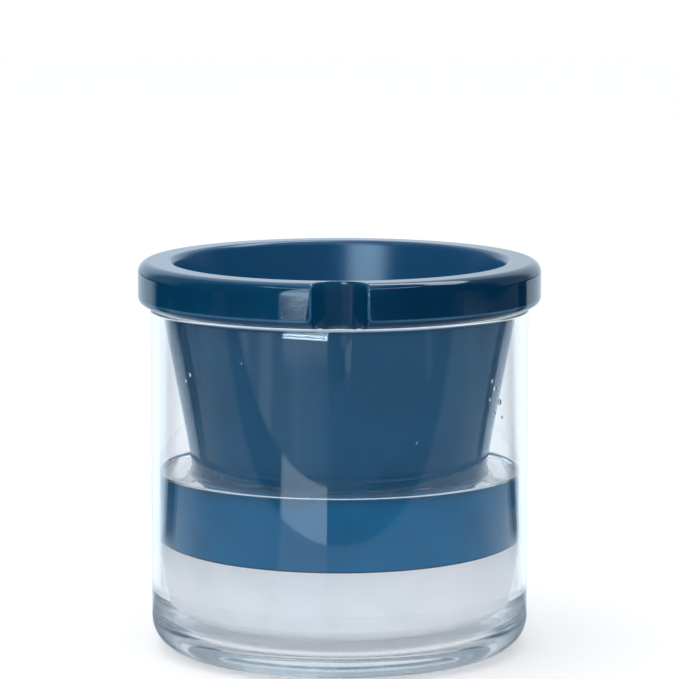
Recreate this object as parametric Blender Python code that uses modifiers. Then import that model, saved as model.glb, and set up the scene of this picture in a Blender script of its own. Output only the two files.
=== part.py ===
"""Self-watering plant pot: a tapered clay pot that hangs by its rim in a clear glass water vessel.

Metres, +Z up, the vessel's foot at z = 0 and the filling notch facing -Y.
"""

import math

import bpy

MM = 0.001

# The glass vessel
GLASS_RADIUS = 84.5 * MM
GLASS_WALL = 3.6 * MM
GLASS_HEIGHT = 154.1 * MM
GLASS_FLOOR = 9.0 * MM
GLASS_LIP_ROUND = 1.4 * MM
GLASS_HEEL_ROUND = 14.0 * MM
GLASS_INNER_ROUND = 18.0 * MM
FOOT_RING_WIDTH = 12.0 * MM
FOOT_RECESS_DEPTH = 1.2 * MM
FOOT_RECESS_SLOPE = 2.0 * MM

# The clay pot and its rim
RIM_OVERHANG = 5.5 * MM
RIM_HEIGHT = 20.0 * MM
RIM_TOP_ROUND = 5.0 * MM
RIM_BOTTOM_ROUND = 3.5 * MM
RIM_INNER_ROUND = 3.0 * MM
SEAT_STEP = 0.9 * MM
UPPER_TAPER = math.radians(10.7)
LOWER_TAPER = math.radians(7.8)
BEND_DEPTH = 63.5 * MM
POT_WALL = 8.8 * MM
POT_FLOOR = 9.0 * MM
POT_HEEL_ROUND = 8.0 * MM
POT_INNER_ROUND = 6.0 * MM
UNDER_RIM_FILLET = 1.2 * MM

# The filling notch in the front of the rim
NOTCH_RADIUS = 12.1 * MM
NOTCH_RUN_OUT = 14.0 * MM

# The fired glaze, which stands on the clay and stops short of its lower part
GLAZE_THICKNESS = 0.5 * MM
BARE_FOOT_HEIGHT = 33.2 * MM
GLAZE_DEPTH_INSIDE = 26.0 * MM

# Fits
MOUTH_CLEARANCE = 1.5 * MM
FOOT_CLEARANCE = 2.2 * MM
SEAT_GAP = 0.3 * MM
SEAT_INSIDE_LIP = 0.2 * MM
GLAZE_GAP = 0.3 * MM
CUTTER_OVERLAP = 5.0 * MM

# Mesh resolution
TURNED_STEPS = 64
CORNER_STEPS = 4
NOTCH_STEPS = 40
MERGE_DISTANCE = 0.00005

# Sizes that follow from those above
BORE_RADIUS = GLASS_RADIUS - GLASS_WALL
RIM_RADIUS = GLASS_RADIUS + RIM_OVERHANG
NECK_RADIUS = BORE_RADIUS - MOUTH_CLEARANCE
SEAT_HEIGHT = GLASS_HEIGHT + SEAT_GAP
POT_DEPTH = SEAT_HEIGHT - GLASS_FLOOR - FOOT_CLEARANCE
GLAZE_DEPTH_OUTSIDE = POT_DEPTH - BARE_FOOT_HEIGHT
GLAZE_SKIN = GLAZE_THICKNESS + GLAZE_GAP
SEAT_RADIUS = GLASS_RADIUS - SEAT_INSIDE_LIP
# A surface moved square to itself by 1 moves sideways by this much.
SIDEWAYS = 1.0 / math.cos(UPPER_TAPER)


def clear_scene():
    for obj in list(bpy.data.objects):
        bpy.data.objects.remove(obj, do_unlink=True)


def make_collection(name):
    collection = bpy.data.collections.new(name)
    bpy.context.scene.collection.children.link(collection)
    return collection


def make_material(name, colour, roughness, transmission=0.0):
    material = bpy.data.materials.new(name)
    material.use_nodes = True
    shader = material.node_tree.nodes["Principled BSDF"]
    shader.inputs["Base Color"].default_value = (*colour, 1.0)
    shader.inputs["Roughness"].default_value = roughness
    shader.inputs["Metallic"].default_value = 0.0
    shader.inputs["Transmission Weight"].default_value = transmission
    return material


def rounded_corner(before, corner, after, radius):
    """Points of the arc of this radius that touches both sides of a corner, each point as (r, z)."""
    to_before = (before[0] - corner[0], before[1] - corner[1])
    to_after = (after[0] - corner[0], after[1] - corner[1])
    length_before = math.hypot(*to_before)
    length_after = math.hypot(*to_after)
    unit_before = (to_before[0] / length_before, to_before[1] / length_before)
    unit_after = (to_after[0] / length_after, to_after[1] / length_after)
    dot = unit_before[0] * unit_after[0] + unit_before[1] * unit_after[1]
    half_angle = math.acos(max(-1.0, min(1.0, dot))) / 2
    reach = radius / math.tan(half_angle)
    middle = (unit_before[0] + unit_after[0], unit_before[1] + unit_after[1])
    middle_length = math.hypot(*middle)
    centre_distance = radius / math.sin(half_angle)
    centre = (
        corner[0] + middle[0] / middle_length * centre_distance,
        corner[1] + middle[1] / middle_length * centre_distance,
    )
    start = (corner[0] + unit_before[0] * reach, corner[1] + unit_before[1] * reach)
    end = (corner[0] + unit_after[0] * reach, corner[1] + unit_after[1] * reach)
    start_angle = math.atan2(start[1] - centre[1], start[0] - centre[0])
    end_angle = math.atan2(end[1] - centre[1], end[0] - centre[0])
    turn = (end_angle - start_angle + math.pi) % (2 * math.pi) - math.pi
    points = []
    for step in range(CORNER_STEPS + 1):
        angle = start_angle + turn * step / CORNER_STEPS
        points.append((centre[0] + radius * math.cos(angle), centre[1] + radius * math.sin(angle)))
    return points


def outline(corners):
    """The points of an outline given as corners (r, z, radius), in order. A radius of 0 keeps a corner sharp."""
    points = []
    for index, (r, z, radius) in enumerate(corners):
        if radius <= 0:
            points.append((r, z))
            continue
        before = corners[index - 1]
        after = corners[(index + 1) % len(corners)]
        points.extend(rounded_corner(before[:2], (r, z), after[:2], radius))
    return points


def turned(name, points, closed, collection, material):
    """A solid turned about Z from an outline that runs down its outer side."""
    count = len(points)
    edges = [(index, index + 1) for index in range(count - 1)]
    if closed:
        edges.append((count - 1, 0))
    mesh = bpy.data.meshes.new(name)
    mesh.from_pydata([(r, 0.0, z) for r, z in points], edges, [])
    obj = bpy.data.objects.new(name, mesh)
    collection.objects.link(obj)
    mesh.materials.append(material)
    screw = obj.modifiers.new("turn", "SCREW")
    screw.axis = "Z"
    screw.angle = 2 * math.pi
    screw.steps = TURNED_STEPS
    screw.render_steps = TURNED_STEPS
    screw.use_merge_vertices = True
    screw.merge_threshold = MERGE_DISTANCE
    return obj


def bake(obj):
    """Makes the modifiers' result the object's own mesh."""
    bpy.context.view_layer.update()
    graph = bpy.context.evaluated_depsgraph_get()
    mesh = bpy.data.meshes.new_from_object(obj.evaluated_get(graph))
    obj.modifiers.clear()
    obj.data = mesh


def shade_round(obj):
    """Smooth shading that keeps edges sharp where the outline has a real corner."""
    obj.data.shade_smooth()
    obj.data.set_sharp_from_angle(angle=math.radians(30.0))


def cut(obj, cutter):
    modifier = obj.modifiers.new(cutter.name, "BOOLEAN")
    modifier.operation = "DIFFERENCE"
    modifier.solver = "EXACT"
    modifier.object = cutter


def hide_as_cutter(obj):
    obj.hide_render = True
    obj.display_type = "WIRE"


def wall_radius(depth, inset):
    """The pot's outer radius at a depth below its seat, moved into the clay by the inset.

    The wall narrows fast down to the bend and more slowly below it.
    """
    steep = min(depth, BEND_DEPTH) * math.tan(UPPER_TAPER)
    shallow = max(depth - BEND_DEPTH, 0.0) * math.tan(LOWER_TAPER)
    return NECK_RADIUS - steep - shallow - inset * SIDEWAYS


def bore_radius(depth, inset):
    """The pot's inner radius at a depth below its seat, moved into the clay by the inset."""
    return wall_radius(depth, POT_WALL - inset)


def rim_corners(inset):
    """From the rim's inner top edge over its seat to the bend below it, moved into the clay by the inset."""
    return [
        (bore_radius(inset - RIM_HEIGHT, inset), RIM_HEIGHT - inset, RIM_INNER_ROUND - inset),
        (RIM_RADIUS - inset, RIM_HEIGHT - inset, RIM_TOP_ROUND - inset),
        (RIM_RADIUS - inset, SEAT_STEP + inset, RIM_BOTTOM_ROUND - inset),
        (SEAT_RADIUS - inset, SEAT_STEP + inset, 0.0),
        (SEAT_RADIUS - inset, inset, 0.0),
        (wall_radius(-inset, inset), inset, UNDER_RIM_FILLET + inset),
        (wall_radius(BEND_DEPTH, inset), -BEND_DEPTH, 0.0),
    ]


def notch_cutter(name, grown, collection):
    """The round channel down the front of the rim, grown by this much on every side."""
    depth = RIM_HEIGHT + NOTCH_RUN_OUT + CUTTER_OVERLAP
    bpy.ops.mesh.primitive_cylinder_add(
        vertices=NOTCH_STEPS,
        radius=NOTCH_RADIUS + grown,
        depth=depth,
        location=(0.0, -RIM_RADIUS, depth / 2 - NOTCH_RUN_OUT),
    )
    cutter = bpy.context.active_object
    cutter.name = name
    for owner in list(cutter.users_collection):
        owner.objects.unlink(cutter)
    collection.objects.link(cutter)
    hide_as_cutter(cutter)
    return cutter


def make_glass_vessel(collection, material):
    """Clear glass: a straight wall with a rounded lip, and a thick base with a ring to stand on."""
    ring_radius = GLASS_RADIUS - GLASS_HEEL_ROUND - FOOT_RING_WIDTH
    corners = [
        (0.0, GLASS_FLOOR, 0.0),
        (BORE_RADIUS, GLASS_FLOOR, GLASS_INNER_ROUND),
        (BORE_RADIUS, GLASS_HEIGHT, GLASS_LIP_ROUND),
        (GLASS_RADIUS, GLASS_HEIGHT, GLASS_LIP_ROUND),
        (GLASS_RADIUS, 0.0, GLASS_HEEL_ROUND),
        (ring_radius, 0.0, 0.0),
        (ring_radius - FOOT_RECESS_SLOPE, FOOT_RECESS_DEPTH, 0.0),
        (0.0, FOOT_RECESS_DEPTH, 0.0),
    ]
    vessel = turned("glass_vessel", outline(corners), False, collection, material)
    bake(vessel)
    shade_round(vessel)
    return vessel


def make_clay_pot(collection, cutters, material):
    """Fired clay, bare below the glaze, without a drain hole: it soaks water through its own wall."""
    inset = GLAZE_SKIN
    floor_depth = POT_DEPTH - POT_FLOOR
    corners = [
        (0.0, -floor_depth, 0.0),
        (bore_radius(floor_depth, inset), -floor_depth, POT_INNER_ROUND),
        (bore_radius(BEND_DEPTH, inset), -BEND_DEPTH, 0.0),
        *rim_corners(inset),
        (wall_radius(POT_DEPTH, inset), -POT_DEPTH, POT_HEEL_ROUND),
        (0.0, -POT_DEPTH, 0.0),
    ]
    pot = turned("clay_pot", outline(corners), False, collection, material)
    cut(pot, notch_cutter("notch_in_clay", inset, cutters))
    bake(pot)
    shade_round(pot)
    return pot


def glaze_blank(name, inset, reach, back, collection, material):
    """The glazed part of the wall, moved in by the inset, from its skin to a surface this far from the bore.

    Both of its ends are carried on by the reach.
    """
    outer_end = GLAZE_DEPTH_OUTSIDE + reach
    inner_end = GLAZE_DEPTH_INSIDE - RIM_HEIGHT + reach
    corners = [
        (bore_radius(inner_end, back), -inner_end, 0.0),
        (bore_radius(inner_end, inset), -inner_end, 0.0),
        *rim_corners(inset),
        (wall_radius(outer_end, inset), -outer_end, 0.0),
        (bore_radius(outer_end, back), -outer_end, 0.0),
        (bore_radius(BEND_DEPTH, back), -BEND_DEPTH, 0.0),
    ]
    return turned(name, outline(corners), True, collection, material)


def make_blue_glaze(collection, cutters, material):
    """The glossy blue glaze as the coat that it is: over the rim, down the notch and down the outside."""
    glaze = glaze_blank("blue_glaze", 0.0, 0.0, POT_WALL / 2, collection, material)
    cut(glaze, notch_cutter("notch_in_glaze", 0.0, cutters))
    core = glaze_blank("glaze_core", GLAZE_THICKNESS, CUTTER_OVERLAP, POT_WALL / 4, cutters, material)
    cut(core, notch_cutter("notch_in_core", GLAZE_THICKNESS, cutters))
    hide_as_cutter(core)
    cut(glaze, core)
    bake(glaze)
    shade_round(glaze)
    return glaze


def main():
    clear_scene()
    planter = make_collection("self_watering_planter")
    cutters = make_collection("cutters")
    cutters.hide_render = True
    glass = make_material("clear_glass", (0.90, 0.94, 0.96), 0.02, transmission=1.0)
    clay = make_material("bare_clay", (0.70, 0.72, 0.75), 0.85)
    glaze = make_material("blue_glaze", (0.004, 0.045, 0.105), 0.12)

    make_glass_vessel(planter, glass)
    # The pot lifts straight up out of the glass, along the axis that this empty stands on.
    seat = bpy.data.objects.new("pot_seat", None)
    planter.objects.link(seat)
    clay_pot = make_clay_pot(planter, cutters, clay)
    blue_glaze = make_blue_glaze(planter, cutters, glaze)
    clay_pot.parent = seat
    blue_glaze.parent = seat
    seat.location.z = SEAT_HEIGHT


main()
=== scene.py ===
"""Looks of the self-watering plant pot: a blue-glazed clay pot hanging by its rim in a clear glass of water.

Metres, +Z up, the vessel's foot at z = 0 and the filling notch facing -Y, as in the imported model.
"""

import math

import bmesh
import bpy
from mathutils import Matrix, Vector


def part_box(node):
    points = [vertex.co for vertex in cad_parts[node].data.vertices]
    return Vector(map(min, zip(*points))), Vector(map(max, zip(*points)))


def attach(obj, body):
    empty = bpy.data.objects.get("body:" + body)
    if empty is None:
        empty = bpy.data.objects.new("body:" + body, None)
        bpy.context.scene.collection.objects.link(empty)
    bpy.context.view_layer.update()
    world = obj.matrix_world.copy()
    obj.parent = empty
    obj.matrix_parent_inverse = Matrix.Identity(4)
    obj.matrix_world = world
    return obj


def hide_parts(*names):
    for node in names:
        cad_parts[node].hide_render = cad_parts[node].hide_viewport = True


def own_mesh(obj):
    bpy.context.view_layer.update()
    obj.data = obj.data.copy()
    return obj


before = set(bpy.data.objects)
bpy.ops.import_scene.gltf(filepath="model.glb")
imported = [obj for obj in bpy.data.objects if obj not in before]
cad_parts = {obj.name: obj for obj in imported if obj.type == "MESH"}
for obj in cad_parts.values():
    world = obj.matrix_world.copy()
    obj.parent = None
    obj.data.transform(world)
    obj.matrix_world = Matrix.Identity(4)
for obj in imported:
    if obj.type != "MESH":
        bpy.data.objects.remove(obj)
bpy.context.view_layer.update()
scene = bpy.context.scene
MM = 0.001

# Camera: a long lens from 1.7 m in front, a little above the rim and tilted down to it, so that the
# picture shows the front of the pot and a thin view of the rim's top.
PICTURE_SIDE_PIXELS = 679.0
FOCAL_PIXELS = 3835.9
CAMERA_DISTANCE = 1.70
CAMERA_HEIGHT = 0.37767
CAMERA_TILT = 0.13986
SENSOR_WIDTH_MM = 36.0

camera_data = bpy.data.cameras.new("camera")
camera_data.sensor_width = SENSOR_WIDTH_MM
camera_data.lens = FOCAL_PIXELS * SENSOR_WIDTH_MM / PICTURE_SIDE_PIXELS
camera_data.clip_start = 0.01
camera_data.clip_end = 50.0
camera = bpy.data.objects.new("camera", camera_data)
scene.collection.objects.link(camera)
camera.location = (0.0, -CAMERA_DISTANCE, CAMERA_HEIGHT)
camera.rotation_euler = (math.pi / 2 - CAMERA_TILT, 0.0, 0.0)
scene.camera = camera
scene.view_settings.view_transform = "Standard"


# Studio: white paper behind and under the pot, a dark room on the camera's side, a tall soft window of
# light at its front left, and narrow dark cards at the back left and back right that draw the glass's edges.
def node_math(tree, operation, first, second=0.5, clamp=False):
    """A Math node. Each value is a number or another node's output."""
    node = tree.nodes.new("ShaderNodeMath")
    node.operation = operation
    node.use_clamp = clamp
    for socket, value in zip(node.inputs, (first, second)):
        if isinstance(value, (int, float)):
            socket.default_value = value
        else:
            tree.links.new(value, socket)
    return node.outputs["Value"]


def node_product(tree, first, *others):
    """Multiplies all the values."""
    for other in others:
        first = node_math(tree, "MULTIPLY", first, other)
    return first


def node_sum(tree, first, *others):
    """Adds all the values."""
    for other in others:
        first = node_math(tree, "ADD", first, other)
    return first


def node_rest(tree, share):
    """What a share leaves of 1."""
    return node_math(tree, "SUBTRACT", 1.0, share)


def node_degrees(tree, angle):
    """An angle in radians, turned into degrees."""
    return node_math(tree, "MULTIPLY", angle, 180 / math.pi)


def node_step(tree, value, start, end):
    """0 before the start and 1 after the end, with a soft change between. It falls if the end is lower."""
    node = tree.nodes.new("ShaderNodeMapRange")
    node.interpolation_type = "SMOOTHSTEP"
    tree.links.new(value, node.inputs["Value"])
    low, high = sorted((start, end))
    node.inputs["From Min"].default_value = low
    node.inputs["From Max"].default_value = high
    node.inputs["To Min"].default_value = 0.0 if start < end else 1.0
    node.inputs["To Max"].default_value = 1.0 if start < end else 0.0
    return node.outputs["Result"]


def node_band(tree, value, low, high, soft):
    """1 between low and high, with soft ends of this width, and 0 elsewhere."""
    rise = node_step(tree, value, low - soft / 2, low + soft / 2)
    fall = node_step(tree, value, high + soft / 2, high - soft / 2)
    return node_math(tree, "MULTIPLY", rise, fall)


def node_between(tree, share, first, second):
    """Goes from the first value to the second by the share."""
    node = tree.nodes.new("ShaderNodeMix")
    node.data_type = "FLOAT"
    for socket, value in zip(node.inputs[:1] + node.inputs[2:4], (share, first, second)):
        if isinstance(value, (int, float)):
            socket.default_value = value
        else:
            tree.links.new(value, socket)
    return node.outputs["Result"]


def mixed_colour(tree, share, first, second):
    """A colour between two. The share and each colour may come from a node."""
    node = tree.nodes.new("ShaderNodeMix")
    node.data_type = "RGBA"
    for socket, value in zip((node.inputs[0], node.inputs[6], node.inputs[7]), (share, first, second)):
        if isinstance(value, (tuple, float)):
            socket.default_value = value
        else:
            tree.links.new(value, socket)
    return node.outputs[2]


world = bpy.data.worlds.new("studio")
scene.world = world
world.use_nodes = True
sky = world.node_tree
sky.nodes.clear()
direction = sky.nodes.new("ShaderNodeSeparateXYZ")
sky.links.new(sky.nodes.new("ShaderNodeTexCoord").outputs["Generated"], direction.inputs["Vector"])
# Degrees: 0 towards the camera and 90 to its right, and the height above the horizon.
toward_camera = node_math(sky, "MULTIPLY", direction.outputs["Y"], -1.0)
azimuth = node_degrees(sky, node_math(sky, "ARCTAN2", direction.outputs["X"], toward_camera))
sideways = node_math(sky, "ABSOLUTE", azimuth)
height = node_degrees(sky, node_math(sky, "ARCSINE", direction.outputs["Z"]))

# What gloss and clear pieces see: the white backdrop behind, a dark room on the camera's side with the
# window of light in it, a long thin lamp high in front, a second one at the back right and a bright ceiling.
ROOM_LEVEL = 0.02
WINDOW_LEVEL = 7.2
WINDOW_TOP_SHARE = 0.6
WINDOW_LEFT = -33.0
WINDOW_RIGHT = -7.0
HIGH_LAMP = 62.0
HIGH_LAMP_LEVEL = 5.0
BACK_LAMP_LEVEL = 6.0
BACKDROP_EDGE = 140.0
EDGE_SOFTNESS = 8.0
SIDE_LEVEL = 0.25
backdrop = node_between(
    sky,
    node_step(sky, sideways, BACKDROP_EDGE - EDGE_SOFTNESS, BACKDROP_EDGE + EDGE_SOFTNESS),
    node_product(sky, node_step(sky, sideways, 97.0, 110.0), SIDE_LEVEL),
    1.0,
)
ceiling = node_step(sky, height, 72.0, 80.0)
window = node_product(
    sky,
    node_band(sky, azimuth, WINDOW_LEFT, WINDOW_RIGHT, 3.0),
    node_between(sky, node_step(sky, height, 18.0, 34.0), 1.0, WINDOW_TOP_SHARE),
    node_step(sky, height, 68.0, 58.0),
)
high_lamp = node_product(
    sky,
    node_band(sky, height, HIGH_LAMP - 2.0, HIGH_LAMP + 2.0, 1.5),
    node_step(sky, sideways, 85.0, 70.0),
)
back_lamp = node_product(sky, node_band(sky, height, 50.0, 64.0, 3.0), node_step(sky, azimuth, 92.0, 104.0))
studio = node_sum(
    sky,
    node_math(sky, "MAXIMUM", backdrop, ceiling),
    node_product(sky, window, WINDOW_LEVEL),
    node_product(sky, high_lamp, HIGH_LAMP_LEVEL),
    node_product(sky, back_lamp, BACK_LAMP_LEVEL),
    ROOM_LEVEL,
)

# How bright the room is for each kind of ray: light on a dull surface comes evenly from all sides, and
# a little more from the left. Clear glass shows the white surroundings when it is only looked through,
# and the studio in its inner reflections. Surfaces behind glass get more, for what the glass keeps back.
AMBIENT_LEVEL = 0.85
AMBIENT_GAIN_LEFT = 0.12
AMBIENT_LOSS_RIGHT = 0.22
LEVEL_BEHIND_GLASS = 2.4
DARKEST_IN_GLASS = 0.60
ray = sky.nodes.new("ShaderNodeLightPath")
lit_surface = node_math(sky, "GREATER_THAN", ray.outputs["Diffuse Depth"], 0.5)
looked_through = node_math(sky, "LESS_THAN", ray.outputs["Glossy Depth"], 0.5)
in_glass = node_math(sky, "MAXIMUM", studio, node_between(sky, looked_through, DARKEST_IN_GLASS, 1.0))
front_light = node_between(sky, node_step(sky, sideways, 20.0, 130.0), 1.12, 0.88)
behind_glass = node_product(sky, front_light, LEVEL_BEHIND_GLASS)
through = node_between(sky, lit_surface, in_glass, behind_glass)
ambient = node_between(
    sky,
    node_step(sky, azimuth, -70.0, 70.0),
    AMBIENT_LEVEL + AMBIENT_GAIN_LEFT,
    AMBIENT_LEVEL - AMBIENT_LOSS_RIGHT,
)
on_gloss = node_between(sky, lit_surface, studio, ambient)
level = node_between(sky, ray.outputs["Is Glossy Ray"], ambient, on_gloss)
level = node_between(sky, ray.outputs["Is Transmission Ray"], level, through)
level = node_between(sky, ray.outputs["Is Camera Ray"], level, 1.0)

# The studio's daylight is cool: white paper comes back bluish from gloss, and through glass a little.
WHITE = (1.0, 1.0, 1.0, 1.0)
DAYLIGHT_IN_GLOSS = (0.80, 0.93, 1.06, 1.0)
DAYLIGHT_THROUGH_GLASS = (1.06, 1.08, 1.13, 1.0)
WINDOW_COLOUR = (0.63, 0.87, 1.0, 1.0)
seen_through = node_math(sky, "SUBTRACT", ray.outputs["Is Transmission Ray"], lit_surface, clamp=True)
straight_gloss = node_math(
    sky, "SUBTRACT", ray.outputs["Is Glossy Ray"], ray.outputs["Is Transmission Ray"], clamp=True
)
daylight = mixed_colour(sky, seen_through, WHITE, DAYLIGHT_THROUGH_GLASS)
daylight = mixed_colour(sky, straight_gloss, daylight, DAYLIGHT_IN_GLOSS)
window_seen = node_product(sky, window, ray.outputs["Is Glossy Ray"])
daylight = mixed_colour(sky, window_seen, daylight, WINDOW_COLOUR)
background = sky.nodes.new("ShaderNodeBackground")
sky.links.new(daylight, background.inputs["Color"])
sky.links.new(level, background.inputs["Strength"])
world_out = sky.nodes.new("ShaderNodeOutputWorld")
sky.links.new(background.outputs["Background"], world_out.inputs["Surface"])

# A soft lamp overhead gives the table its faint shadow.
lamp_data = bpy.data.lights.new("overhead_lamp", "AREA")
lamp_data.shape = "DISK"
lamp_data.size = 1.2
lamp_data.energy = 3.5
lamp = bpy.data.objects.new("overhead_lamp", lamp_data)
scene.collection.objects.link(lamp)
lamp.location = (-0.06, -0.25, 1.35)
lamp_aim = Vector((0.0, 0.0, 0.08))
lamp.rotation_euler = (lamp_aim - lamp.location).to_track_quat("-Z", "Y").to_euler()
lamp.visible_glossy = False
lamp.visible_transmission = False

# The table is white paper. It is lit to white, and keeps the shade that the vessel throws on it. Gloss
# sees it darker on the camera's side, where it ends in front of the darker studio floor, and beyond
# that the foot of the window of light with its three tubes. Distances are from the vessel's middle.
TABLE_RADIUS = 4.0
TABLE_DROP = 0.3 * MM
TABLE_FRONT = -0.393
TABLE_LEFT = -1.20
TABLE_RIGHT = 1.31
FLOOR_STARTS = -0.56
WINDOW_BEARING = -18.0
WINDOW_LEAN = 0.0003
TUBES_START = 1.146
TUBE_STEP = 0.0152
TUBE_LEVEL = 20.0
FLOOR_ENDS = TUBES_START + 3 * TUBE_STEP


def object_place(tree):
    """A piece's own coordinates: the whole place, and the node that splits it into X, Y and Z."""
    whole = tree.nodes.new("ShaderNodeTexCoord").outputs["Object"]
    parts = tree.nodes.new("ShaderNodeSeparateXYZ")
    tree.links.new(whole, parts.inputs["Vector"])
    return whole, parts


def node_length(tree, vector):
    """How long a vector is."""
    node = tree.nodes.new("ShaderNodeVectorMath")
    node.operation = "LENGTH"
    tree.links.new(vector, node.inputs[0])
    return node.outputs["Value"]


table_shape = bmesh.new()
bmesh.ops.create_circle(
    table_shape,
    cap_ends=True,
    segments=96,
    radius=TABLE_RADIUS,
    matrix=Matrix.Translation((0.0, 0.0, -TABLE_DROP)),
)
table_mesh = bpy.data.meshes.new("table")
table_shape.to_mesh(table_mesh)
table_shape.free()
table_top = bpy.data.objects.new("table", table_mesh)
scene.collection.objects.link(table_top)
paper = bpy.data.materials.new("white_paper")
paper.use_nodes = True
sheet = paper.node_tree
paper_shader = sheet.nodes["Principled BSDF"]
paper_shader.inputs["Base Color"].default_value = (0.86, 0.87, 0.89, 1.0)
paper_shader.inputs["Roughness"].default_value = 1.0
paper_shader.inputs["Specular IOR Level"].default_value = 0.0
paper_shader.inputs["Emission Color"].default_value = WHITE
paper_shader.inputs["Emission Strength"].default_value = 0.30
paper_place, paper_parts = object_place(sheet)
across = paper_parts.outputs["X"]
along = paper_parts.outputs["Y"]
spread = node_length(sheet, paper_place)
bearing = node_degrees(sheet, node_math(sheet, "ARCTAN2", across, node_math(sheet, "MULTIPLY", along, -1.0)))
sideways_bearing = node_math(sheet, "ABSOLUTE", bearing)
window_lean = node_product(sheet, node_math(sheet, "SUBTRACT", bearing, WINDOW_BEARING), WINDOW_LEAN)
to_window = node_sum(sheet, spread, window_lean)
on_table = node_product(
    sheet,
    node_step(sheet, along, TABLE_FRONT - 0.004, TABLE_FRONT + 0.004),
    node_band(sheet, across, TABLE_LEFT, TABLE_RIGHT, 0.02),
)
in_gap = node_band(sheet, along, FLOOR_STARTS, TABLE_FRONT, 0.006)
past_gap = node_step(sheet, along, FLOOR_STARTS + 0.003, FLOOR_STARTS - 0.003)
on_floor = node_product(sheet, past_gap, node_step(sheet, spread, FLOOR_ENDS + 0.02, FLOOR_ENDS))
in_room = node_product(sheet, past_gap, node_step(sheet, spread, FLOOR_ENDS, FLOOR_ENDS + 0.02))
in_window = node_band(sheet, bearing, WINDOW_LEFT, WINDOW_RIGHT, 1.2)

# The table is white behind and darker to the sides and in front. A dark card stands at each back corner.
LEFT_CARD = (-124.0, -111.0)
RIGHT_CARD = (119.0, 130.0)
CARD_DARKNESS = 0.95
FRONT_LEVEL = 0.36
NEAR_SIDE_LEVEL = 0.50
FAR_SIDE_LEVEL = 0.14
cards = node_math(
    sheet,
    "MAXIMUM",
    node_band(sheet, bearing, *LEFT_CARD, 2.0),
    node_band(sheet, bearing, *RIGHT_CARD, 2.0),
)
cards = node_product(sheet, cards, CARD_DARKNESS, node_step(sheet, spread, 0.28, 0.36))
side_level = node_between(sheet, node_step(sheet, spread, 0.50, 0.85), NEAR_SIDE_LEVEL, FAR_SIDE_LEVEL)
front_level = node_between(sheet, node_step(sheet, sideways_bearing, 82.0, 98.0), FRONT_LEVEL, side_level)
front_seen = node_sum(sheet, node_product(sheet, in_window, 0.25), front_level)
behind = node_step(sheet, sideways_bearing, 122.0, 132.0)
table_seen = node_product(sheet, node_between(sheet, behind, front_seen, 1.0), node_rest(sheet, cards))
gap_seen = node_sum(sheet, node_product(sheet, in_window, 1.5), 0.12)

# The floor carries the window's glow and upright streaks of light: from bearing, to bearing and strength.
FLOOR_STREAKS = (
    (-61.0, -55.0, 0.25),
    (-47.5, -40.0, 0.35),
    (-25.5, -24.0, 0.10),
    (53.0, 55.0, 0.25),
    (62.0, 66.0, 0.30),
    (70.0, 71.5, 0.35),
    (77.0, 84.0, 0.55),
    (88.0, 92.0, 0.45),
    (97.0, 103.0, 0.60),
)
floor_seen = node_sum(sheet, node_product(sheet, node_step(sheet, bearing, 0.0, -25.0), 0.20), 0.17)
for left, right, strength in FLOOR_STREAKS:
    streak = node_product(sheet, node_band(sheet, bearing, left, right, 1.5), strength)
    floor_seen = node_sum(sheet, floor_seen, streak)
window_foot = node_product(sheet, in_window, node_step(sheet, to_window, 0.98, 1.13), 0.35)
floor_seen = node_sum(sheet, floor_seen, window_foot)

# The tubes are seen in the glass only, and not in the pot behind it, where the notch would bend them.
path = sheet.nodes.new("ShaderNodeLightPath")
lit_by_table = node_math(sheet, "GREATER_THAN", path.outputs["Diffuse Depth"], 0.5)
one_reflection = node_band(sheet, path.outputs["Glossy Depth"], 0.5, 1.5, 0.1)
off_the_pot = node_product(
    sheet,
    node_band(sheet, path.outputs["Transmission Depth"], 3.5, 4.5, 0.1),
    one_reflection,
    node_step(sheet, spread, 0.10, 0.12),
)
past_first_tube = node_math(sheet, "SUBTRACT", to_window, TUBES_START)
tube_phase = node_product(sheet, past_first_tube, 2 * math.pi / TUBE_STEP)
tubes_seen = node_product(
    sheet,
    node_band(sheet, to_window, TUBES_START, FLOOR_ENDS, 0.001),
    in_window,
    node_step(sheet, node_math(sheet, "COSINE", tube_phase), 0.15, -0.40),
    TUBE_LEVEL,
    node_rest(sheet, off_the_pot),
)
# The window is dimmer at its left and at its foot.
window_face = node_product(
    sheet,
    in_window,
    node_step(sheet, to_window, FLOOR_ENDS, FLOOR_ENDS + 0.004),
    node_between(sheet, node_step(sheet, bearing, -34.0, -20.0), 0.3, 1.0),
    node_between(sheet, node_step(sheet, to_window, 1.33, 1.40), 0.22, 1.0),
)
room_seen = node_sum(sheet, node_product(sheet, window_face, WINDOW_LEVEL), ROOM_LEVEL)
floor_level = node_sum(
    sheet,
    tubes_seen,
    node_product(sheet, on_table, table_seen),
    node_product(sheet, in_gap, gap_seen),
    node_product(sheet, on_floor, floor_seen),
    node_product(sheet, in_room, room_seen),
)
mirror_image = sheet.nodes.new("ShaderNodeEmission")
mirror_image.inputs["Color"].default_value = (0.79, 0.96, 1.10, 1.0)
sheet.links.new(floor_level, mirror_image.inputs["Strength"])

# Straight reflections, those off the pot and those inside the glass see that image. Clear glass that is
# only looked through shows the white table from any side.
away = node_product(
    sheet,
    node_step(sheet, spread, 0.22, 0.32),
    node_step(sheet, sideways_bearing, BACKDROP_EDGE + EDGE_SOFTNESS, BACKDROP_EDGE - EDGE_SOFTNESS),
    node_math(sheet, "GREATER_THAN", path.outputs["Glossy Depth"], 0.5),
)
straight = node_rest(sheet, path.outputs["Is Transmission Ray"])
mirrored = node_product(
    sheet,
    path.outputs["Is Glossy Ray"],
    node_rest(sheet, lit_by_table),
    node_math(sheet, "MAXIMUM", straight, node_math(sheet, "MAXIMUM", away, off_the_pot)),
)

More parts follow.
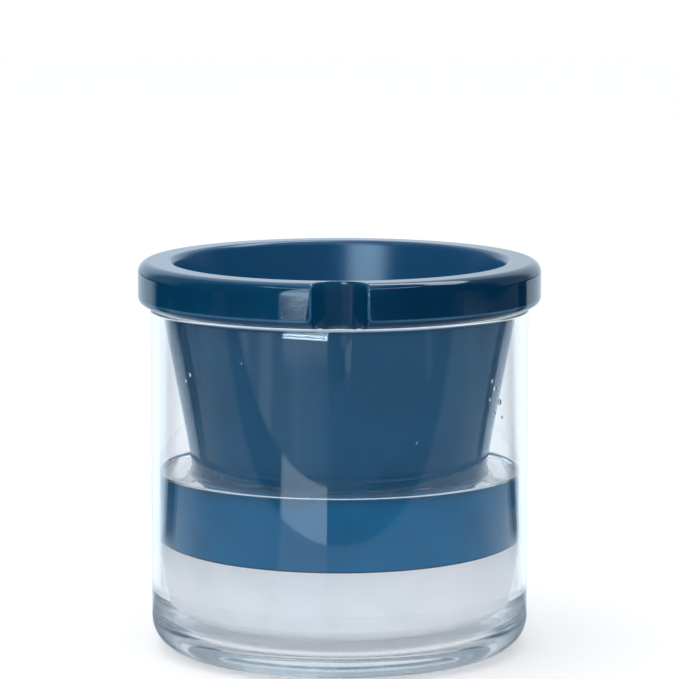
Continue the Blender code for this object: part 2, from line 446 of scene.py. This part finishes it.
# Through the glass base the paper shows in the vessel's own shade, and it lights the pot from below.
# A glazed face loses its shine under water, so the rays that left it there come back dim.
GLOW_IN_MIDDLE = 0.66
GLOW_AT_WALL = 0.92
GLOW_OUTSIDE = 1.06
GLOW_UNDER_WATER = 0.15
GLOW_ON_POT = 1.5
under_glass = node_between(sheet, node_step(sheet, spread, 0.045, 0.084), GLOW_IN_MIDDLE, GLOW_AT_WALL)
under_glass = node_between(sheet, node_step(sheet, spread, 0.086, 0.105), under_glass, GLOW_OUTSIDE)
shine_under_water = node_product(
    sheet,
    node_band(sheet, path.outputs["Transmission Depth"], 5.5, 6.5, 0.1),
    one_reflection,
    node_step(sheet, spread, 0.11, 0.14),
)
under_glass = node_between(sheet, shine_under_water, under_glass, GLOW_UNDER_WATER)
glow = sheet.nodes.new("ShaderNodeEmission")
glow.inputs["Color"].default_value = (1.02, 1.03, 1.06, 1.0)
sheet.links.new(node_between(sheet, lit_by_table, under_glass, GLOW_ON_POT), glow.inputs["Strength"])
choose_glow = sheet.nodes.new("ShaderNodeMixShader")
sheet.links.new(path.outputs["Is Transmission Ray"], choose_glow.inputs["Fac"])
sheet.links.new(paper_shader.outputs["BSDF"], choose_glow.inputs[1])
sheet.links.new(glow.outputs["Emission"], choose_glow.inputs[2])
choose_image = sheet.nodes.new("ShaderNodeMixShader")
sheet.links.new(mirrored, choose_image.inputs["Fac"])
sheet.links.new(choose_glow.outputs["Shader"], choose_image.inputs[1])
sheet.links.new(mirror_image.outputs["Emission"], choose_image.inputs[2])
sheet.links.new(choose_image.outputs["Shader"], sheet.nodes["Material Output"].inputs["Surface"])
table_mesh.materials.append(paper)


# Glass vessel: clear pressed glass, a straight wall on a thick base with a rounded heel, a ring to
# stand on, and a lip that was rounded in the flame.
glass_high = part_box("glass_vessel")[1]
GLASS_RADIUS = glass_high[0]
GLASS_HEIGHT = glass_high[2]
GLASS_WALL = 3.6 * MM
BORE_RADIUS = GLASS_RADIUS - GLASS_WALL
GLASS_FLOOR = 9.0 * MM
LIP_ROUND = 1.7 * MM
HEEL_ROUND = 14.0 * MM
INNER_ROUND = 18.0 * MM
RING_WIDTH = 12.0 * MM
RING_INNER_RADIUS = GLASS_RADIUS - HEEL_ROUND - RING_WIDTH
RECESS_DEPTH = 1.2 * MM
RECESS_SLOPE = 2.0 * MM
TURNED_STEPS = 256
LONG_EDGE = 1.5 * MM
SUPPORT_EDGE = 0.25 * MM
SHARP_ANGLE = math.radians(40.0)


def turned(name, corners, ring=False):
    """A solid turned about Z from an outline of corners (r, z, rounding radius, arc segments).

    Short edges beside each rounding keep the flats flat when the piece is shaded smooth.
    """
    shape = bmesh.new()
    verts = [shape.verts.new((r, 0.0, z)) for r, z, radius, segments in corners]
    for first, second in zip(verts, verts[1:]):
        shape.edges.new((first, second))
    if ring:
        shape.edges.new((verts[-1], verts[0]))
    for index, (r, z, radius, segments) in enumerate(corners):
        if radius <= 0:
            continue
        before = Vector(corners[index - 1][:2]) - Vector((r, z))
        after = Vector(corners[(index + 1) % len(corners)][:2]) - Vector((r, z))
        reach = radius / math.tan(before.angle(after) / 2)
        bmesh.ops.bevel(
            shape,
            geom=[verts[index]],
            offset=reach,
            offset_type="OFFSET",
            segments=segments,
            profile=0.5,
            affect="VERTICES",
            material=-1,
        )
    for edge in list(shape.edges):
        length = edge.calc_length()
        if length > LONG_EDGE:
            near = edge.verts[0]
            rest = bmesh.utils.edge_split(edge, near, SUPPORT_EDGE / length)[0]
            far = edge.verts[1] if edge.verts[0] in rest.verts else edge.verts[0]
            bmesh.utils.edge_split(edge, far, SUPPORT_EDGE / (length - SUPPORT_EDGE))
    bmesh.ops.spin(
        shape,
        geom=shape.verts[:] + shape.edges[:],
        cent=(0.0, 0.0, 0.0),
        axis=(0.0, 0.0, 1.0),
        angle=2 * math.pi,
        steps=TURNED_STEPS,
        use_merge=True,
    )
    bmesh.ops.remove_doubles(shape, verts=shape.verts[:], dist=0.001 * MM)
    bmesh.ops.recalc_face_normals(shape, faces=shape.faces[:])
    mesh = bpy.data.meshes.new(name)
    shape.to_mesh(mesh)
    shape.free()
    piece = bpy.data.objects.new(name, mesh)
    scene.collection.objects.link(piece)
    mesh.shade_smooth()
    mesh.set_sharp_from_angle(angle=SHARP_ANGLE)
    return piece


vessel = turned(
    "glass_vessel_clear",
    [
        (0.0, GLASS_FLOOR, 0.0, 0),
        (BORE_RADIUS, GLASS_FLOOR, INNER_ROUND, 20),
        (BORE_RADIUS, GLASS_HEIGHT, LIP_ROUND, 10),
        (GLASS_RADIUS, GLASS_HEIGHT, LIP_ROUND, 10),
        (GLASS_RADIUS, 0.0, HEEL_ROUND, 20),
        (RING_INNER_RADIUS, 0.0, 0.3 * MM, 3),
        (RING_INNER_RADIUS - RECESS_SLOPE, RECESS_DEPTH, 0.6 * MM, 3),
        (0.0, RECESS_DEPTH, 0.0, 0),
    ],
)
glass = bpy.data.materials.new("pressed_clear_glass")
glass.use_nodes = True
glass_tree = glass.node_tree
glass_shader = glass_tree.nodes["Principled BSDF"]
glass_shader.inputs["Base Color"].default_value = (0.965, 0.985, 1.0, 1.0)
glass_shader.inputs["Roughness"].default_value = 0.0
glass_shader.inputs["IOR"].default_value = 1.5
glass_shader.inputs["Transmission Weight"].default_value = 1.0
glass_place, glass_parts = object_place(glass_tree)
glass_height = glass_parts.outputs["Z"]
# The ring it stands on is ground.
GROUND_ROUGHNESS = 0.16
ground_foot = node_step(glass_tree, glass_height, 1.9 * MM, 1.5 * MM)
glass_tree.links.new(
    node_product(glass_tree, ground_foot, GROUND_ROUGHNESS), glass_shader.inputs["Roughness"]
)
# Painted glow: the lip gives off light of its own along its top, standing in for the light that the wall
# carries up to it.
PAINTED_LIP_GLOW_COLOUR = (0.78, 0.92, 1.0, 1.0)
painted_lip_glow = node_step(glass_tree, glass_height, GLASS_HEIGHT - 1.1 * MM, GLASS_HEIGHT - 0.3 * MM)
painted_lip_colour = mixed_colour(glass_tree, painted_lip_glow, (0.0, 0.0, 0.0, 1.0), PAINTED_LIP_GLOW_COLOUR)
glass_tree.links.new(painted_lip_colour, glass_shader.inputs["Emission Color"])
glass_shader.inputs["Emission Strength"].default_value = 0.40
# Pressed glass is never quite flat: long soft waves bend the reflections a little.
wave_place = glass_tree.nodes.new("ShaderNodeMapping")
wave_place.inputs["Scale"].default_value = (1.0, 1.0, 0.35)
glass_tree.links.new(glass_place, wave_place.inputs["Vector"])
waves = glass_tree.nodes.new("ShaderNodeTexNoise")
waves.inputs["Scale"].default_value = 60.0
waves.inputs["Detail"].default_value = 1.5
glass_tree.links.new(wave_place.outputs["Vector"], waves.inputs["Vector"])
glass_skin = glass_tree.nodes.new("ShaderNodeBump")
glass_skin.inputs["Distance"].default_value = 0.014 * MM
glass_tree.links.new(waves.outputs["Fac"], glass_skin.inputs["Height"])
glass_tree.links.new(glass_skin.outputs["Normal"], glass_shader.inputs["Normal"])
thickness_tint = glass_tree.nodes.new("ShaderNodeVolumeAbsorption")
thickness_tint.inputs["Color"].default_value = (0.10, 0.27, 0.34, 1.0)
thickness_tint.inputs["Density"].default_value = 3.0
glass_tree.links.new(thickness_tint.outputs["Volume"], glass_tree.nodes["Material Output"].inputs["Volume"])
vessel.data.materials.append(glass)
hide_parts("glass_vessel")
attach(vessel, "vessel")

# Filling notch: a round channel down the front of the rim, its edges softened by the sponge before
# firing. This is the tool that cuts it, and it opens out where it comes to the rim's skin.
SEAT_HEIGHT = GLASS_HEIGHT + 0.3 * MM
SEAT_STEP = 0.9 * MM
rim_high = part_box("blue_glaze")[1]
RIM_RADIUS = rim_high[0]
RIM_TOP = rim_high[2]
RIM_BOTTOM = SEAT_HEIGHT + SEAT_STEP
RIM_TOP_ROUND = 5.0 * MM
RIM_BOTTOM_ROUND = 3.5 * MM
NOTCH_RADIUS = 11.85 * MM
NOTCH_RUN_OUT = 14.0 * MM
NOTCH_EDGE_ROUND = 0.8 * MM
NOTCH_LEAN = math.radians(2.0)
TOOL_ABOVE_RIM = 6.0 * MM
FINE_LEVELS_FROM = RIM_TOP - 7.0 * MM
FINE_STEP = 0.4 * MM
COARSE_STEP = 1.5 * MM


def depth_in_rim(x, y, z, inset):
    """How deep a point lies under the skin of the rim's outer side and top."""
    from_side = RIM_RADIUS - inset - math.hypot(x, y)
    from_top = RIM_TOP - inset - z
    top_round = RIM_TOP_ROUND - inset
    if from_side < top_round and from_top < top_round:
        return top_round - math.hypot(top_round - from_side, top_round - from_top)
    return min(from_side, from_top)


def notch_tool(name, inset):
    """The channel's cutter, grown by the inset on every side."""
    top = RIM_TOP + TOOL_ABOVE_RIM
    bottom = SEAT_HEIGHT - NOTCH_RUN_OUT
    shape = bmesh.new()
    bmesh.ops.create_cone(
        shape,
        cap_ends=True,
        segments=144,
        radius1=NOTCH_RADIUS + inset,
        radius2=NOTCH_RADIUS + inset,
        depth=top - bottom,
        matrix=Matrix.Translation((0.0, -RIM_RADIUS, (top + bottom) / 2)),
    )
    level = bottom + 1.0 * MM
    while level < top - 0.1 * MM:
        bmesh.ops.bisect_plane(
            shape,
            geom=shape.verts[:] + shape.edges[:] + shape.faces[:],
            plane_co=(0.0, 0.0, level),
            plane_no=(0.0, 0.0, 1.0),
        )
        level += FINE_STEP if level > FINE_LEVELS_FROM else COARSE_STEP
    # The tool meets the skin at a slant, a hair before it would run along it.
    edge_round = NOTCH_EDGE_ROUND - inset
    slant = 0.05 * MM
    widest = edge_round - math.sqrt(edge_round**2 - (edge_round - slant) ** 2)
    for vert in shape.verts:
        depth = depth_in_rim(*vert.co, inset)
        if depth > edge_round - slant:
            continue
        if depth >= 0:
            reach = edge_round - depth - slant
            opening = edge_round - math.sqrt(edge_round**2 - reach**2)
        else:
            opening = widest + 3.0 * min(-depth, 2.0 * MM)
        outwards = Vector((vert.co.x, vert.co.y + RIM_RADIUS, 0.0)).normalized()
        vert.co += outwards * opening
    # The channel goes a little deeper towards its lower end.
    for vert in shape.verts:
        vert.co.y += math.tan(NOTCH_LEAN) * min(max(RIM_TOP - vert.co.z, 0.0), RIM_TOP - SEAT_HEIGHT)
    mesh = bpy.data.meshes.new(name)
    bmesh.ops.recalc_face_normals(shape, faces=shape.faces[:])
    shape.to_mesh(mesh)
    shape.free()
    return bpy.data.objects.new(name, mesh)


def cut_away(piece, tool):
    """Takes the tool's shape out of the piece and removes the tool."""
    scene.collection.objects.link(tool)
    cut = piece.modifiers.new("cut", "BOOLEAN")
    cut.operation = "DIFFERENCE"
    cut.solver = "EXACT"
    cut.object = tool
    bpy.context.view_layer.update()
    result = bpy.data.meshes.new_from_object(piece.evaluated_get(bpy.context.evaluated_depsgraph_get()))
    piece.modifiers.clear()
    piece.data = result
    bpy.data.objects.remove(tool)
    result.shade_smooth()
    result.set_sharp_from_angle(angle=SHARP_ANGLE)


# Clay pot: pale clay, thrown with a thick hanging rim and a wall that bends to a gentler taper, and
# left bare below the glaze so that water soaks in. It has no drain hole.
UPPER_TAPER = math.radians(10.7)
LOWER_TAPER = math.radians(7.8)
BEND_DEPTH = 63.5 * MM
BEND_HEIGHT = SEAT_HEIGHT - BEND_DEPTH
BEND_ROUND = 400.0 * MM
NECK_RADIUS = BORE_RADIUS - 1.5 * MM
NECK_ROUND = 1.2 * MM
SEAT_RADIUS = GLASS_RADIUS - 0.2 * MM
SEAT_EDGE_ROUND = 0.35 * MM
MOUTH_ROUND = 3.0 * MM
POT_WALL = 8.8 * MM
POT_FLOOR = 9.0 * MM
POT_FOOT = GLASS_FLOOR + 2.2 * MM
POT_HEEL_ROUND = 8.0 * MM
POT_INNER_ROUND = 6.0 * MM
SIDEWAYS = 1.0 / math.cos(UPPER_TAPER)
GLAZE_THICKNESS = 0.5 * MM
CLAY_INSET = 0.56 * MM


def wall_radius(z, inset):
    """The pot's outer radius at a height, moved into the clay by the inset."""
    depth = SEAT_HEIGHT - z
    steep = min(depth, BEND_DEPTH) * math.tan(UPPER_TAPER)
    shallow = max(depth - BEND_DEPTH, 0.0) * math.tan(LOWER_TAPER)
    return NECK_RADIUS - steep - shallow - inset * SIDEWAYS


def bore_radius(z, inset):
    """The pot's inner radius at a height, moved into the clay by the inset."""
    return wall_radius(z, POT_WALL - inset)


def rim_corners(inset):
    """The outline from the rim's inner top edge over the seat to the bend, moved in by the inset."""
    top = RIM_TOP - inset
    seat = SEAT_HEIGHT + inset
    return [
        (bore_radius(top, inset), top, MOUTH_ROUND - inset, 10),
        (RIM_RADIUS - inset, top, RIM_TOP_ROUND - inset, 14),
        (RIM_RADIUS - inset, RIM_BOTTOM + inset, RIM_BOTTOM_ROUND - inset, 12),
        (SEAT_RADIUS - inset, RIM_BOTTOM + inset, SEAT_EDGE_ROUND, 3),
        (SEAT_RADIUS - inset, seat, SEAT_EDGE_ROUND, 3),
        (wall_radius(seat, inset), seat, NECK_ROUND + inset, 6),
        (wall_radius(BEND_HEIGHT, inset), BEND_HEIGHT, BEND_ROUND, 6),
    ]


INNER_FLOOR = POT_FOOT + POT_FLOOR
pot = turned(
    "clay_pot_bare",
    [
        (0.0, INNER_FLOOR, 0.0, 0),
        (bore_radius(INNER_FLOOR, CLAY_INSET), INNER_FLOOR, POT_INNER_ROUND, 8),
        (bore_radius(BEND_HEIGHT, CLAY_INSET), BEND_HEIGHT, BEND_ROUND, 4),
        *rim_corners(CLAY_INSET),
        (wall_radius(POT_FOOT, CLAY_INSET), POT_FOOT, POT_HEEL_ROUND, 14),
        (0.0, POT_FOOT, 0.0, 0),
    ],
)
cut_away(pot, notch_tool("notch_in_clay", CLAY_INSET))
clay = bpy.data.materials.new("bare_pale_clay")
clay.use_nodes = True
clay_tree = clay.node_tree
clay_shader = clay_tree.nodes["Principled BSDF"]
clay_shader.inputs["Roughness"].default_value = 0.85


def fired_surface_group():
    """Soft patches and a fine grain, as fired clay and glaze have them."""
    group = bpy.data.node_groups.new("fired_surface", "ShaderNodeTree")
    group.interface.new_socket("Place", in_out="INPUT", socket_type="NodeSocketVector")
    group.interface.new_socket("Patches per metre", in_out="INPUT", socket_type="NodeSocketFloat")
    group.interface.new_socket("Grains per metre", in_out="INPUT", socket_type="NodeSocketFloat")
    group.interface.new_socket("Patches", in_out="OUTPUT", socket_type="NodeSocketFloat")
    group.interface.new_socket("Grain", in_out="OUTPUT", socket_type="NodeSocketFloat")
    entry = group.nodes.new("NodeGroupInput")
    result = group.nodes.new("NodeGroupOutput")
    kinds = (("Patches per metre", "Patches", 3.0), ("Grains per metre", "Grain", 2.0))
    for source, target, detail in kinds:
        noise = group.nodes.new("ShaderNodeTexNoise")
        noise.inputs["Detail"].default_value = detail
        group.links.new(entry.outputs["Place"], noise.inputs["Vector"])
        group.links.new(entry.outputs[source], noise.inputs["Scale"])
        group.links.new(noise.outputs["Fac"], result.inputs[target])
    return group


def fired_surface(tree, place, patches, grains):
    """Puts the group in a material and gives its node."""
    node = tree.nodes.new("ShaderNodeGroup")
    node.node_tree = bpy.data.node_groups.get("fired_surface") or fired_surface_group()
    node.inputs["Patches per metre"].default_value = patches
    node.inputs["Grains per metre"].default_value = grains
    tree.links.new(place, node.inputs["Place"])
    return node


clay_place, clay_parts = object_place(clay_tree)
clay_height = clay_parts.outputs["Z"]
clay_surface = fired_surface(clay_tree, clay_place, 45.0, 1500.0)
GREY_CLAY = (0.885, 0.885, 0.915, 1.0)
PALE_CLAY = (0.94, 0.935, 0.96, 1.0)
DARK_GRAIN = (0.62, 0.63, 0.67, 1.0)
clay_patches = node_step(clay_tree, clay_surface.outputs["Patches"], 0.35, 0.65)
clay_colour = mixed_colour(clay_tree, clay_patches, GREY_CLAY, PALE_CLAY)
dark_grains = node_product(clay_tree, node_step(clay_tree, clay_surface.outputs["Grain"], 0.34, 0.24), 0.35)
clay_colour = mixed_colour(clay_tree, dark_grains, clay_colour, DARK_GRAIN)
# The clay is whiter in a fine line along the glaze's lower end.
GLAZE_LINE = POT_FOOT + 34.2 * MM
white_line_under_glaze = node_band(clay_tree, clay_height, GLAZE_LINE - 0.75 * MM, GLAZE_LINE + 0.2 * MM, 0.2 * MM)
clay_colour = mixed_colour(clay_tree, white_line_under_glaze, clay_colour, WHITE)
clay_tree.links.new(clay_colour, clay_shader.inputs["Base Color"])
# Faint rings from the throwing, 3.6 mm apart and a little uneven, and the grain.
RING_RADIANS_PER_METRE = 1750.0
ring_phase = node_sum(
    clay_tree,
    node_product(clay_tree, clay_height, RING_RADIANS_PER_METRE),
    node_product(clay_tree, clay_surface.outputs["Patches"], 5.0),
)
rings = node_product(clay_tree, node_math(clay_tree, "SINE", ring_phase), 0.35)
clay_relief = clay_tree.nodes.new("ShaderNodeBump")
clay_relief.inputs["Distance"].default_value = 0.06 * MM
clay_tree.links.new(node_sum(clay_tree, rings, clay_surface.outputs["Grain"]), clay_relief.inputs["Height"])
clay_tree.links.new(clay_relief.outputs["Normal"], clay_shader.inputs["Normal"])
pot.data.materials.append(clay)
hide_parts("clay_pot")
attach(pot, "pot")

# Blue glaze: a glossy coat half a millimetre thick, poured over the rim and down the notch and the
# outside. It ends in a clean line above the bare foot, and a little way down the inside.
GLAZE_END_INSIDE = RIM_TOP - 26.0 * MM
GLAZE_CORE_REACH = 5.0 * MM


def glaze_blank(name, inset, reach, back):
    """The glazed part of the wall, from its skin to a surface this far from the bore."""
    low = GLAZE_LINE - reach
    high = GLAZE_END_INSIDE - reach
    return turned(
        name,
        [
            (bore_radius(high, back), high, 0.0, 0),
            (bore_radius(high, inset), high, 0.0, 0),
            *rim_corners(inset),
            (wall_radius(low, inset), low, 0.0, 0),
            (bore_radius(low, back), low, 0.0, 0),
            (bore_radius(BEND_HEIGHT, back), BEND_HEIGHT, 0.0, 0),
        ],
        ring=True,
    )


def flat_length(tree, across, along):
    """How far a point lies from an upright line, by its place across and along from that line."""
    flat = tree.nodes.new("ShaderNodeCombineXYZ")
    tree.links.new(across, flat.inputs["X"])
    tree.links.new(along, flat.inputs["Y"])
    return node_length(tree, flat.outputs["Vector"])


glaze_coat = glaze_blank("blue_glaze_coat", 0.0, 0.0, POT_WALL / 2)
cut_away(glaze_coat, notch_tool("notch_in_glaze", 0.0))
glaze_core = glaze_blank("glaze_core", GLAZE_THICKNESS, GLAZE_CORE_REACH, POT_WALL / 4)
cut_away(glaze_core, notch_tool("notch_in_core", GLAZE_THICKNESS))
scene.collection.objects.unlink(glaze_core)
cut_away(glaze_coat, glaze_core)
glaze = bpy.data.materials.new("glossy_blue_glaze")
glaze.use_nodes = True
glaze_tree = glaze.node_tree
glaze_shader = glaze_tree.nodes["Principled BSDF"]
glaze_place, glaze_parts = object_place(glaze_tree)
glaze_height = glaze_parts.outputs["Z"]
glaze_spread = flat_length(glaze_tree, glaze_parts.outputs["X"], glaze_parts.outputs["Y"])
beyond_rim = node_sum(glaze_tree, glaze_parts.outputs["Y"], RIM_RADIUS)
from_notch = flat_length(glaze_tree, glaze_parts.outputs["X"], beyond_rim)
glaze_surface = fired_surface(glaze_tree, glaze_place, 38.0, 420.0)

# The glaze's blue by height in metres: brighter up to the water line, painted light for how it looks under
# water; dark on the rim's face, painted shade; and paler again over the rim's top, painted light where it
# faces up. It pools in soft patches.
PAINTED_UNDERWATER_LIGHT_BLUE = (0.003, 0.142, 0.32, 1.0)
MIDDLE_BLUE = (0.003, 0.061, 0.138, 1.0)
UPPER_BLUE = (0.003, 0.059, 0.133, 1.0)
RIM_PAINTED_SHADE_BLUE = (0.0012, 0.040, 0.099, 1.0)
TOP_PAINTED_LIGHT_BLUE = (0.006, 0.090, 0.200, 1.0)
RIGHT_PAINTED_SHADE_BLUE = (0.0002, 0.013, 0.040, 1.0)
PALE_INSIDE_BLUE = (0.004, 0.075, 0.185, 1.0)
EDGE_BLUE_AND_HIGHLIGHT = (0.045, 0.16, 0.28, 1.0)
DARK_GLAZE_END_BLUE = (0.001, 0.02, 0.06, 1.0)
SEAT_RING_HIGHLIGHT_WHITE = (0.84, 0.92, 1.0, 1.0)
GLAZE_SHADES = (
    (0.074, PAINTED_UNDERWATER_LIGHT_BLUE),
    (0.082, MIDDLE_BLUE),
    (0.148, UPPER_BLUE),
    (0.156, RIM_PAINTED_SHADE_BLUE),
    (0.1715, RIM_PAINTED_SHADE_BLUE),
    (0.1744, TOP_PAINTED_LIGHT_BLUE),
)
glaze_shade = glaze_tree.nodes.new("ShaderNodeValToRGB")
glaze_tree.links.new(glaze_height, glaze_shade.inputs["Fac"])
ramp = glaze_shade.color_ramp
for index, (stop, shade) in enumerate(GLAZE_SHADES):
    element = ramp.elements[index] if index < 2 else ramp.elements.new(stop)
    element.position = stop
    element.color = shade
glaze_patches = node_step(glaze_tree, glaze_surface.outputs["Patches"], 0.30, 0.70)
pooled = glaze_tree.nodes.new("ShaderNodeHueSaturation")
glaze_tree.links.new(node_between(glaze_tree, glaze_patches, 0.90, 1.08), pooled.inputs["Value"])
glaze_tree.links.new(glaze_shade.outputs["Color"], pooled.inputs["Color"])
glaze_colour = pooled.outputs["Color"]
# Painted shade: the rim's right side is darker, away from the light that comes from the left.
on_rim = node_step(glaze_tree, glaze_height, 0.150, 0.156)
on_right = node_step(glaze_tree, glaze_parts.outputs["X"], -0.01, 0.04)
painted_right_shade = node_product(glaze_tree, on_right, on_rim, 0.6)
glaze_colour = mixed_colour(glaze_tree, painted_right_shade, glaze_colour, RIGHT_PAINTED_SHADE_BLUE)
# It breaks paler over the rim's lower edge and the notch's edges, and this pale band also paints the
# highlight that those edges catch.
EDGE_CORNER = 2.6 * MM
PALE_EDGE_WIDTH = 0.9 * MM
beside_notch = node_math(glaze_tree, "SUBTRACT", from_notch, NOTCH_RADIUS + 0.2 * MM)
above_edge = node_math(glaze_tree, "SUBTRACT", glaze_height, RIM_BOTTOM + EDGE_CORNER)
corner_side = node_math(glaze_tree, "SUBTRACT", EDGE_CORNER, beside_notch)
corner_low = node_math(glaze_tree, "SUBTRACT", EDGE_CORNER, above_edge)
corner_reach = flat_length(
    glaze_tree,
    node_math(glaze_tree, "MAXIMUM", corner_side, 0.0),
    node_math(glaze_tree, "MAXIMUM", corner_low, 0.0),
)
edge_distance = node_math(glaze_tree, "SUBTRACT", EDGE_CORNER, corner_reach)
pale_edge_and_highlight = node_product(
    glaze_tree,
    node_band(glaze_tree, edge_distance, 0.0, PALE_EDGE_WIDTH, 0.5 * MM),
    node_step(glaze_tree, glaze_spread, 87.0 * MM, 88.5 * MM),
    node_between(glaze_tree, glaze_surface.outputs["Patches"], 0.15, 1.0),
)
glaze_colour = mixed_colour(glaze_tree, pale_edge_and_highlight, glaze_colour, EDGE_BLUE_AND_HIGHLIGHT)
# Inside the rim the glaze is paler and less smooth.
inside = node_product(
    glaze_tree,
    node_step(glaze_tree, glaze_spread, 77.0 * MM, 74.5 * MM),
    node_step(glaze_tree, glaze_height, 0.135, 0.140),
)
glaze_colour = mixed_colour(glaze_tree, inside, glaze_colour, PALE_INSIDE_BLUE)
# The glaze is darker in a narrow band along its lower end.
dark_glaze_end = node_step(glaze_tree, glaze_height, GLAZE_LINE + 0.9 * MM, GLAZE_LINE + 0.3 * MM)
glaze_colour = mixed_colour(glaze_tree, node_product(glaze_tree, dark_glaze_end, 0.75), glaze_colour, DARK_GLAZE_END_BLUE)
# The seat under the rim is painted bluish white and left rough, a painted highlight that stands in for the
# bright line of the glass lip under the rim. The channel isn't painted so.
in_channel = node_product(
    glaze_tree,
    node_math(
        glaze_tree,
        "MAXIMUM",
        node_step(glaze_tree, glaze_spread, 79.0 * MM, 78.8 * MM),
        node_step(glaze_tree, from_notch, NOTCH_RADIUS + 1.6 * MM, NOTCH_RADIUS + 1.2 * MM),
    ),
    node_step(glaze_tree, glaze_height, SEAT_HEIGHT - 0.7 * MM, SEAT_HEIGHT - 0.5 * MM),
)
painted_seat_ring = node_product(
    glaze_tree,
    node_band(glaze_tree, glaze_height, SEAT_HEIGHT - 1.9 * MM, SEAT_HEIGHT + 0.1 * MM, 0.1 * MM),
    node_rest(glaze_tree, in_channel),
)
glaze_colour = mixed_colour(glaze_tree, painted_seat_ring, glaze_colour, SEAT_RING_HIGHLIGHT_WHITE)
glaze_tree.links.new(glaze_colour, glaze_shader.inputs["Base Color"])
GLAZE_ROUGHNESS = 0.06
INSIDE_ROUGHNESS = 0.24
SEAT_RING_ROUGHNESS = 0.8
glaze_roughness = node_between(glaze_tree, inside, GLAZE_ROUGHNESS, INSIDE_ROUGHNESS)
glaze_roughness = node_between(glaze_tree, painted_seat_ring, glaze_roughness, SEAT_RING_ROUGHNESS)
glaze_tree.links.new(glaze_roughness, glaze_shader.inputs["Roughness"])
glaze_shader.inputs["IOR"].default_value = 1.5
glaze_skin = glaze_tree.nodes.new("ShaderNodeBump")
glaze_skin.inputs["Distance"].default_value = 0.05 * MM
skin_height = node_sum(
    glaze_tree,
    node_product(glaze_tree, glaze_surface.outputs["Grain"], 0.20),
    glaze_surface.outputs["Patches"],
)
glaze_tree.links.new(skin_height, glaze_skin.inputs["Height"])
glaze_tree.links.new(glaze_skin.outputs["Normal"], glaze_shader.inputs["Normal"])
glaze_coat.data.materials.clear()
glaze_coat.data.materials.append(glaze)
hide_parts("blue_glaze")
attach(glaze_coat, "pot")

# Water: it fills the vessel round and under the pot, and climbs a little up the glass and the glaze.
# Where the pot stands in it, its edge lies inside the clay.
WATER_LEVEL = 79.5 * MM
CLIMB = 1.8 * MM
CLIMB_WIDTH = 5.0 * MM
AIR_FILM = 0.1 * MM
WETTING = 0.05 * MM
WATER_WALL = BORE_RADIUS - AIR_FILM
water_floor = GLASS_FLOOR - WETTING
IN_FLOOR = POT_FOOT + POT_FLOOR / 2
IN_WALL = POT_WALL / 2
BELOW_BEND = BEND_HEIGHT - 12.0 * MM
CONTACT_ENDS = GLASS_FLOOR + INNER_ROUND + 1.0 * MM
FILM_STARTS = GLASS_FLOOR + INNER_ROUND + 4.0 * MM
POT_SIDE = wall_radius(WATER_LEVEL, 0.0)
water = turned(
    "water",
    [
        (0.0, IN_FLOOR, 0.0, 0),
        (wall_radius(IN_FLOOR, IN_WALL), IN_FLOOR, 0.0, 0),
        (wall_radius(BELOW_BEND, IN_WALL), BELOW_BEND, 0.0, 0),
        (POT_SIDE - 2.0 * MM, WATER_LEVEL + CLIMB + 0.4 * MM, 0.0, 0),
        (POT_SIDE, WATER_LEVEL + CLIMB, 0.0, 0),
        (POT_SIDE + 0.5 * MM, WATER_LEVEL, CLIMB_WIDTH, 12),
        (WATER_WALL - 0.5 * MM, WATER_LEVEL, CLIMB_WIDTH, 12),
        (WATER_WALL, WATER_LEVEL + CLIMB, 0.0, 0),
        (WATER_WALL, FILM_STARTS, 0.0, 0),
        (BORE_RADIUS + WETTING, CONTACT_ENDS, 0.0, 0),
        (BORE_RADIUS + WETTING, water_floor, INNER_ROUND + WETTING, 20),
        (0.0, water_floor, 0.0, 0),
    ],
)
clear_water = bpy.data.materials.new("clear_water")
clear_water.use_nodes = True
water_shader = clear_water.node_tree.nodes["Principled BSDF"]
water_shader.inputs["Base Color"].default_value = (0.985, 0.995, 1.0, 1.0)
water_shader.inputs["Roughness"].default_value = 0.0
water_shader.inputs["IOR"].default_value = 1.333
water_shader.inputs["Transmission Weight"].default_value = 1.0
water.data.materials.append(clear_water)
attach(water, "vessel")
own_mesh(water)

# Drops: a few beads of water that stayed on the vessel's inside above the water. Each has its bearing
# from the front in degrees, its height in mm and its radius in mm.
DROPS = (
    (53.5, 127.0, 0.8),
    (55.0, 123.5, 1.1),
    (52.5, 119.0, 0.7),
    (57.5, 117.0, 1.2),
    (54.5, 112.5, 0.9),
    (59.0, 110.0, 0.7),
    (-52.0, 130.0, 0.9),
    (-54.0, 127.0, 0.7),
    (-31.0, 138.0, 0.5),
    (24.0, 104.0, 0.6),
    (150.0, 120.0, 0.9),
    (-140.0, 112.0, 1.1),
    (178.0, 131.0, 0.8),
)
DROP_FLATNESS = 0.62
DROP_LENGTH = 1.18
drop_shape = bmesh.new()
for drop_bearing, drop_height_mm, drop_radius_mm in DROPS:
    turn = Matrix.Rotation(math.radians(drop_bearing), 4, "Z")
    seat = turn @ Vector((0.0, -BORE_RADIUS, 0.0))
    flat = Matrix.Diagonal((1.0, DROP_FLATNESS, DROP_LENGTH, 1.0))
    spot = Matrix.Translation((seat.x, seat.y, drop_height_mm * MM))
    bmesh.ops.create_icosphere(
        drop_shape,
        subdivisions=3,
        radius=drop_radius_mm * MM,
        matrix=spot @ turn @ flat,
    )
drop_mesh = bpy.data.meshes.new("water_drops")
bmesh.ops.recalc_face_normals(drop_shape, faces=drop_shape.faces[:])
drop_shape.to_mesh(drop_mesh)
drop_shape.free()
drop_mesh.shade_smooth()
drops = bpy.data.objects.new("water_drops", drop_mesh)
scene.collection.objects.link(drops)
drop_mesh.materials.append(clear_water)
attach(drops, "vessel")

# Light has to pass many walls of glass and water before it comes out again.
LIGHT_BOUNCES = 24
scene.cycles.max_bounces = LIGHT_BOUNCES
scene.cycles.transmission_bounces = LIGHT_BOUNCES
scene.cycles.glossy_bounces = LIGHT_BOUNCES
